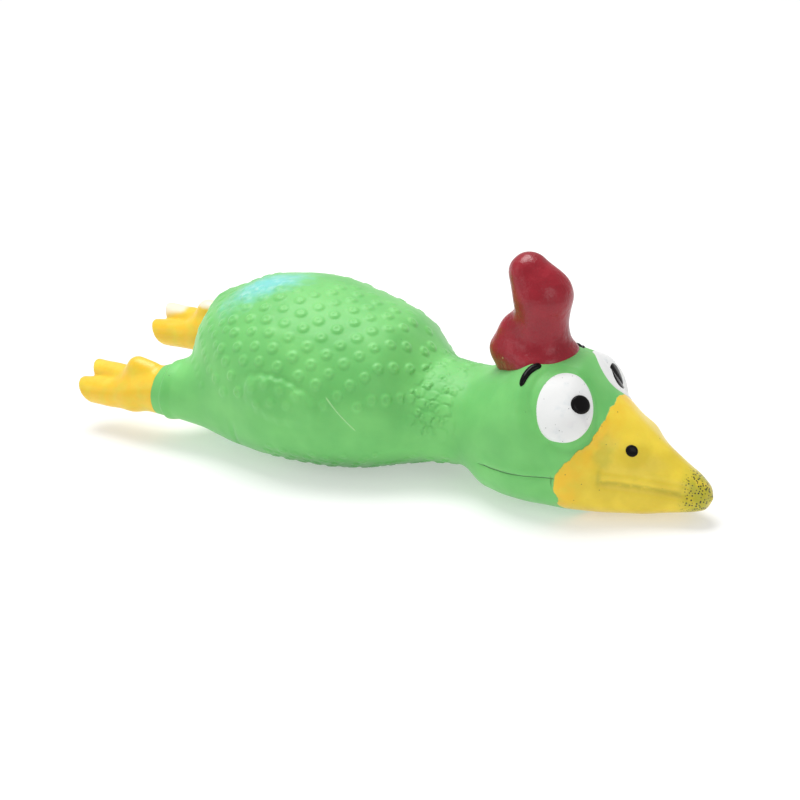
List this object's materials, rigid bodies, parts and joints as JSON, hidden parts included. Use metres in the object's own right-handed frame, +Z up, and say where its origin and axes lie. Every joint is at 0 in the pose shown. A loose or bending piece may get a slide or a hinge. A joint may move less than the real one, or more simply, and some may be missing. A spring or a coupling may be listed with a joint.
{
  "type": "squeaky rubber chicken",
  "caption": "Soft hollow latex chicken lying on its belly, with a long bill, red comb, trailing legs and a squeaker set in the belly.",
  "frame": {"origin": "on the resting surface, below the middle of the overall length and width", "axes": "+X from the feet to the bill tip, +Y to the bird's left, +Z up out of its back"},
  "size_m": [0.2399, 0.08, 0.0859],
  "materials": {
    "green_latex": "satin",
    "yellow_latex": "satin",
    "red_latex": "gloss",
    "white_paint": "satin",
    "black_paint": "gloss",
    "fibre_filling": "matt",
    "squeaker_plastic": "gloss",
    "reed_film": "satin"
  },
  "bodies": {
    "torso": {"torso_skin": "green_latex", "body_filling": "fibre_filling", "squeaker_housing": "squeaker_plastic", "reed_seat": "squeaker_plastic", "reed_clamp": "squeaker_plastic", "squeaker_cap": "squeaker_plastic"},
    "back": {"back_skin": "green_latex"},
    "neck": {"neck_skin": "green_latex"},
    "head": {"head_skin": "green_latex", "bill": "yellow_latex", "right_eye": "white_paint", "left_eye": "white_paint", "right_pupil": "black_paint", "left_pupil": "black_paint", "right_eyebrow": "black_paint", "left_eyebrow": "black_paint", "right_nostril": "black_paint", "left_nostril": "black_paint", "head_filling": "fibre_filling"},
    "comb": {"comb": "red_latex"},
    "right_leg": {"right_leg_skin": "green_latex"},
    "left_leg": {"left_leg_skin": "green_latex"},
    "right_foot": {"right_foot": "yellow_latex"},
    "left_foot": {"left_foot": "yellow_latex"},
    "reed": {"squeaker_reed": "reed_film"}
  },
  "joints": [
    {"name": "back_squeeze", "type": "slide", "parent": "torso", "child": "back", "axis": [0, 0, -1], "range_m": [0, 0.012], "stiffness_N_per_m": 800, "deforming": ["back_skin"]},
    {"name": "neck_nod", "type": "hinge", "parent": "torso", "child": "neck", "pos_m": [0.021, 0, 0.022], "axis": [0, 1, 0], "range_deg": [-25, 20], "stiffness_Nm_per_rad": 1.5, "deforming": ["neck_skin"]},
    {"name": "head_turn", "type": "hinge", "parent": "neck", "child": "head", "pos_m": [0.039, 0, 0.022], "axis": [0, 0, 1], "range_deg": [-25, 25], "stiffness_Nm_per_rad": 1},
    {"name": "comb_flex", "type": "hinge", "parent": "head", "child": "comb", "pos_m": [0.054, 0, 0.051], "axis": [0, 1, 0], "range_deg": [-20, 15], "stiffness_Nm_per_rad": 0.3, "deforming": ["comb"]},
    {"name": "right_hip", "type": "hinge", "parent": "torso", "child": "right_leg", "pos_m": [-0.062, -0.022, 0.02], "axis": [0, 1, 0], "range_deg": [-20, 25], "stiffness_Nm_per_rad": 0.6, "deforming": ["right_leg_skin"]},
    {"name": "left_hip", "type": "hinge", "parent": "torso", "child": "left_leg", "pos_m": [-0.062, 0.022, 0.02], "axis": [0, 1, 0], "range_deg": [-20, 25], "stiffness_Nm_per_rad": 0.6, "deforming": ["left_leg_skin"]},
    {"name": "right_ankle", "type": "hinge", "parent": "right_leg", "child": "right_foot", "pos_m": [-0.085, -0.027, 0.019], "axis": [0, 1, 0], "range_deg": [-25, 25], "stiffness_Nm_per_rad": 0.2},
    {"name": "left_ankle", "type": "hinge", "parent": "left_leg", "child": "left_foot", "pos_m": [-0.085, 0.027, 0.019], "axis": [0, 1, 0], "range_deg": [-25, 25], "stiffness_Nm_per_rad": 0.2},
    {"name": "reed_buzz", "type": "hinge", "parent": "torso", "child": "reed", "pos_m": [-0.026, 0, 0.0062], "axis": [1, 0, 0], "range_deg": [-6, 6], "stiffness_Nm_per_rad": 0.00005}
  ]
}
